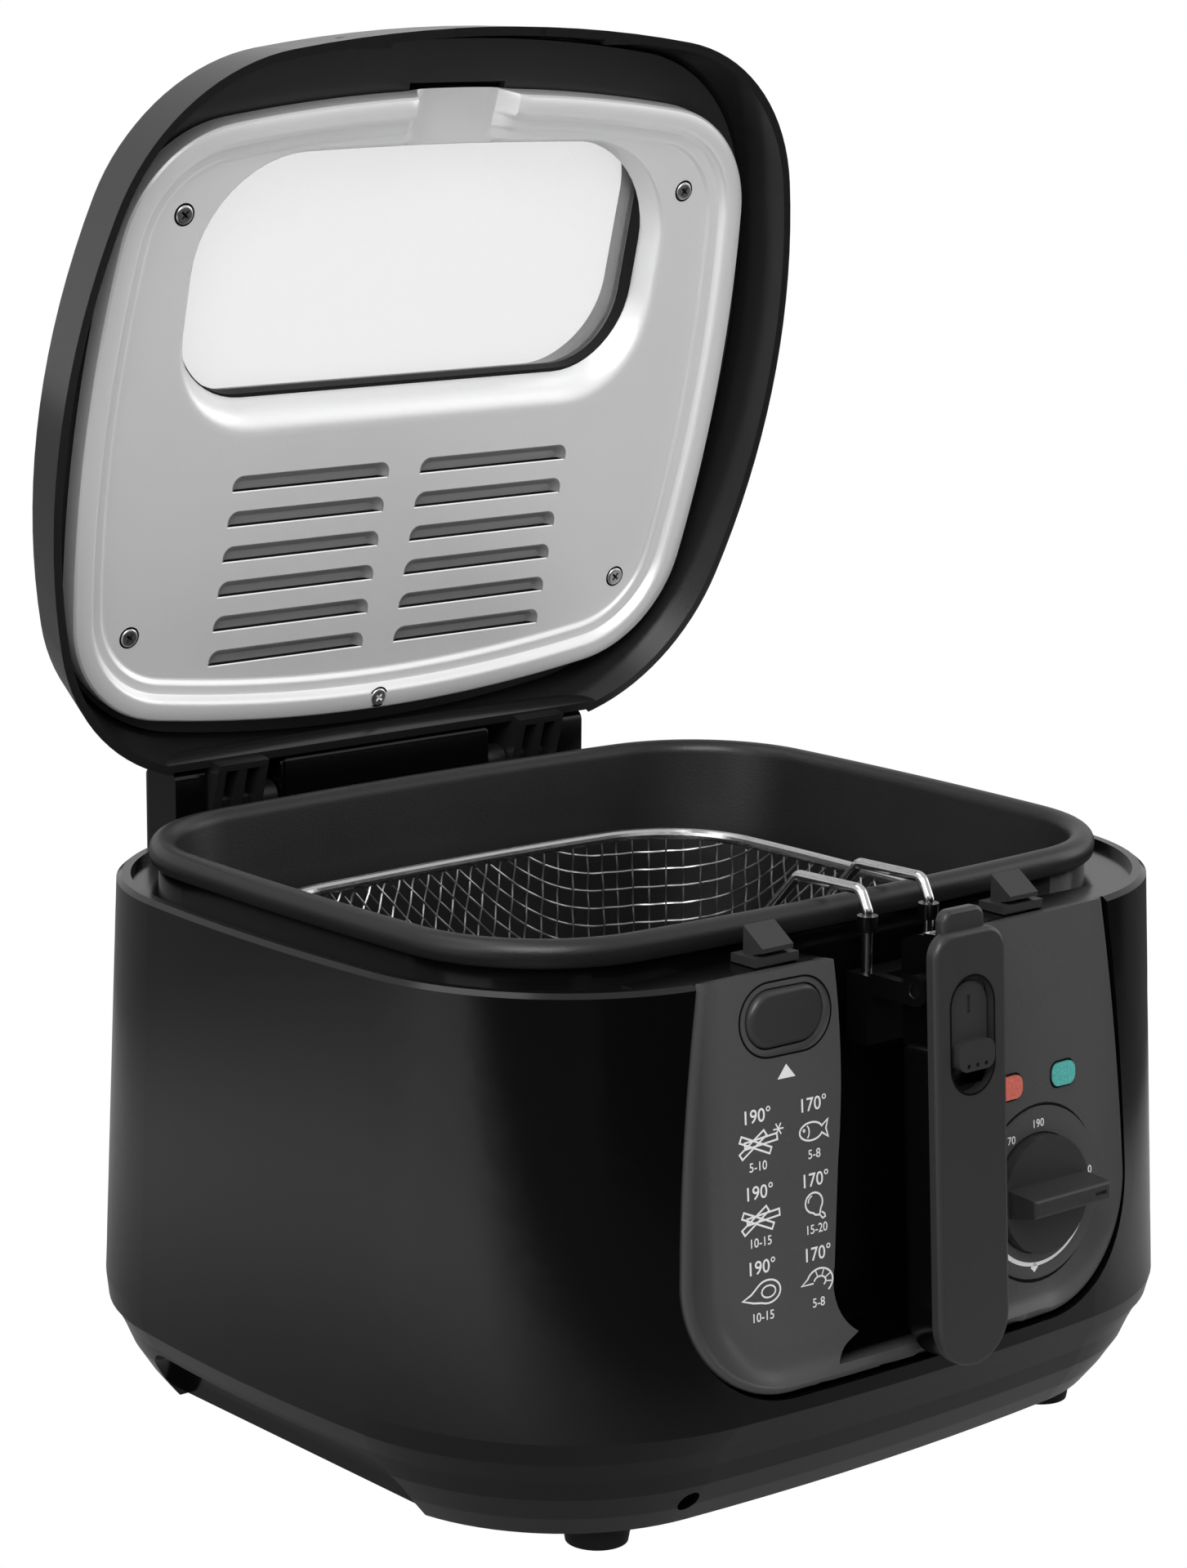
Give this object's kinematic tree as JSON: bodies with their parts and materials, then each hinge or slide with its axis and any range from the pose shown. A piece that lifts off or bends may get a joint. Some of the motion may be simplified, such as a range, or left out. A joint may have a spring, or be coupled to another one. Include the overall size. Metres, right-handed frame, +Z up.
{
  "type": "deep fryer",
  "caption": "Black countertop deep fryer with its spring lid open, non-stick pot, wire basket on a folding handle, dial and latch.",
  "frame": {"origin": "on the floor under the middle of the body (between its widest points), feet at Z = 0", "axes": "+X to the right seen from the front, +Y to the back where the lid is hinged, +Z up"},
  "size_m": [0.2776, 0.2839, 0.3878],
  "materials": {
    "gloss_black": "high gloss",
    "satin_black": "fine satin",
    "non_stick": "matt non-stick coating",
    "satin_steel": "satin",
    "bright_wire": "bright",
    "pane": "clear",
    "seal": "matt",
    "red_lens": "clear tinted",
    "green_lens": "clear tinted",
    "filter_pad": "mesh",
    "inner_plastic": "moulded"
  },
  "bodies": {
    "fryer_body": {"housing": "gloss_black", "fascia": "gloss_black", "base_tray": "satin_black", "hinge_cover": "satin_black", "cord_gland": "satin_black", "dial_ring": "satin_black", "pot": "non_stick", "heat_shield": "satin_steel", "hinge_cover_screws": "bright_wire", "hinge_pins": "bright_wire", "hinge_springs": "bright_wire", "latch_springs": "bright_wire", "heating_element": "bright_wire", "thermal_cutout": "bright_wire", "rubber_feet": "seal", "lamp_red": "red_lens", "lamp_green": "green_lens", "terminal_block": "inner_plastic", "thermostat": "inner_plastic"},
    "lid": {"lid_shell": "gloss_black", "window_frame": "gloss_black", "window_glass": "pane", "window_gasket": "seal", "lid_inner_frame": "satin_black", "lid_liner": "satin_steel", "liner_screws": "bright_wire", "odour_filter": "filter_pad"},
    "latch": {"release_button": "satin_black", "latch_bar": "satin_black"},
    "knob": {"thermostat_knob": "gloss_black"},
    "basket_set": {"basket": "bright_wire", "basket_rim": "bright_wire", "basket_arms": "bright_wire", "basket_stays": "bright_wire", "wire_collars": "satin_black", "handle_bracket": "satin_black", "handle_pin": "bright_wire"},
    "handle": {"handle_cover": "satin_black", "handle_back": "satin_black"},
    "handle_lock": {"slide_button": "satin_black", "lock_catch": "satin_black"}
  },
  "joints": [
    {"name": "lid_hinge", "type": "hinge", "parent": "fryer_body", "child": "lid", "pos_m": [0, 0.121, 0.16], "axis": [-1, 0, 0], "range_deg": [-76, 0], "stiffness_Nm_per_rad": 0.5, "springref_deg": 34.38},
    {"name": "latch_push", "type": "slide", "parent": "fryer_body", "child": "latch", "axis": [0, 1, 0], "range_m": [0, 0.004], "stiffness_N_per_m": 400, "springref_m": -0.006},
    {"name": "knob_turn", "type": "hinge", "parent": "fryer_body", "child": "knob", "pos_m": [0.044, -0.11896, 0.07828], "axis": [0, 0.9974, -0.0725], "range_deg": [0, 270]},
    {"name": "basket_lift", "type": "slide", "parent": "fryer_body", "child": "basket_set", "axis": [0, 0, 1], "range_m": [0, 0.15]},
    {"name": "handle_fold", "type": "hinge", "parent": "basket_set", "child": "handle", "pos_m": [0, -0.1253, 0.146], "axis": [-1, 0, 0], "range_deg": [0, 90]},
    {"name": "lock_slide", "type": "slide", "parent": "handle", "child": "handle_lock", "axis": [0, -0.0593, -0.9982], "range_m": [0, 0.0045], "stiffness_N_per_m": 200, "springref_m": -0.008}
  ]
}
